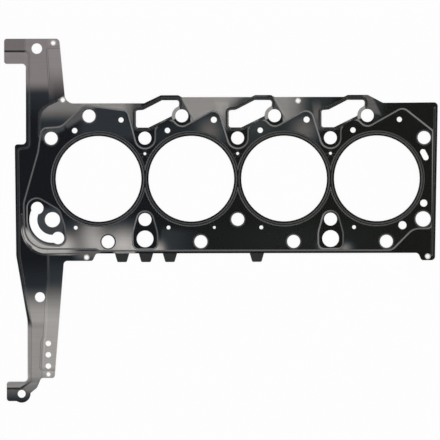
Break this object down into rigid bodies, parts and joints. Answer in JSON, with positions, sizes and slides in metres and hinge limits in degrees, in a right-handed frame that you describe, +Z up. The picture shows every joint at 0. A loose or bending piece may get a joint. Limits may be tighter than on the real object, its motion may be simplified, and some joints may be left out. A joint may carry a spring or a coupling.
{
  "type": "cylinder head gasket",
  "caption": "Flat multi-layer steel cylinder head gasket with a row of cylinder bores, embossed sealing beads, bolt and coolant holes, and a timing cover wing and leg at the front.",
  "frame": {"origin": "middle of the row of cylinders, at the underside of the gasket, centred on the inner head bolts", "axes": "+X along the row of cylinders from the timing end to the rear, +Y across the engine towards the side with the slots, +Z up from the engine block"},
  "size_m": [0.4603, 0.3864, 0.0017],
  "materials": {
    "coated_sheet": "spring steel with a thin dark satin elastomer coating, smooth and faintly streaked along the sheet",
    "carrier_steel": "bare cold-rolled steel sheet, satin grey with a fine rolled grain",
    "stopper_steel": "bare stainless steel shim, bright satin",
    "rivet_steel": "bare rolled steel, satin"
  },
  "bodies": {
    "root": {"upper_layer": "coated_sheet", "lower_layer": "coated_sheet", "carrier_layer": "carrier_steel", "stopper_ring_1": "stopper_steel", "stopper_ring_2": "stopper_steel", "stopper_ring_3": "stopper_steel", "stopper_ring_4": "stopper_steel", "rivet_1": "rivet_steel", "rivet_2": "rivet_steel", "rivet_3": "rivet_steel", "rivet_4": "rivet_steel", "rivet_5": "rivet_steel", "rivet_6": "rivet_steel"}
  },
  "joints": []
}
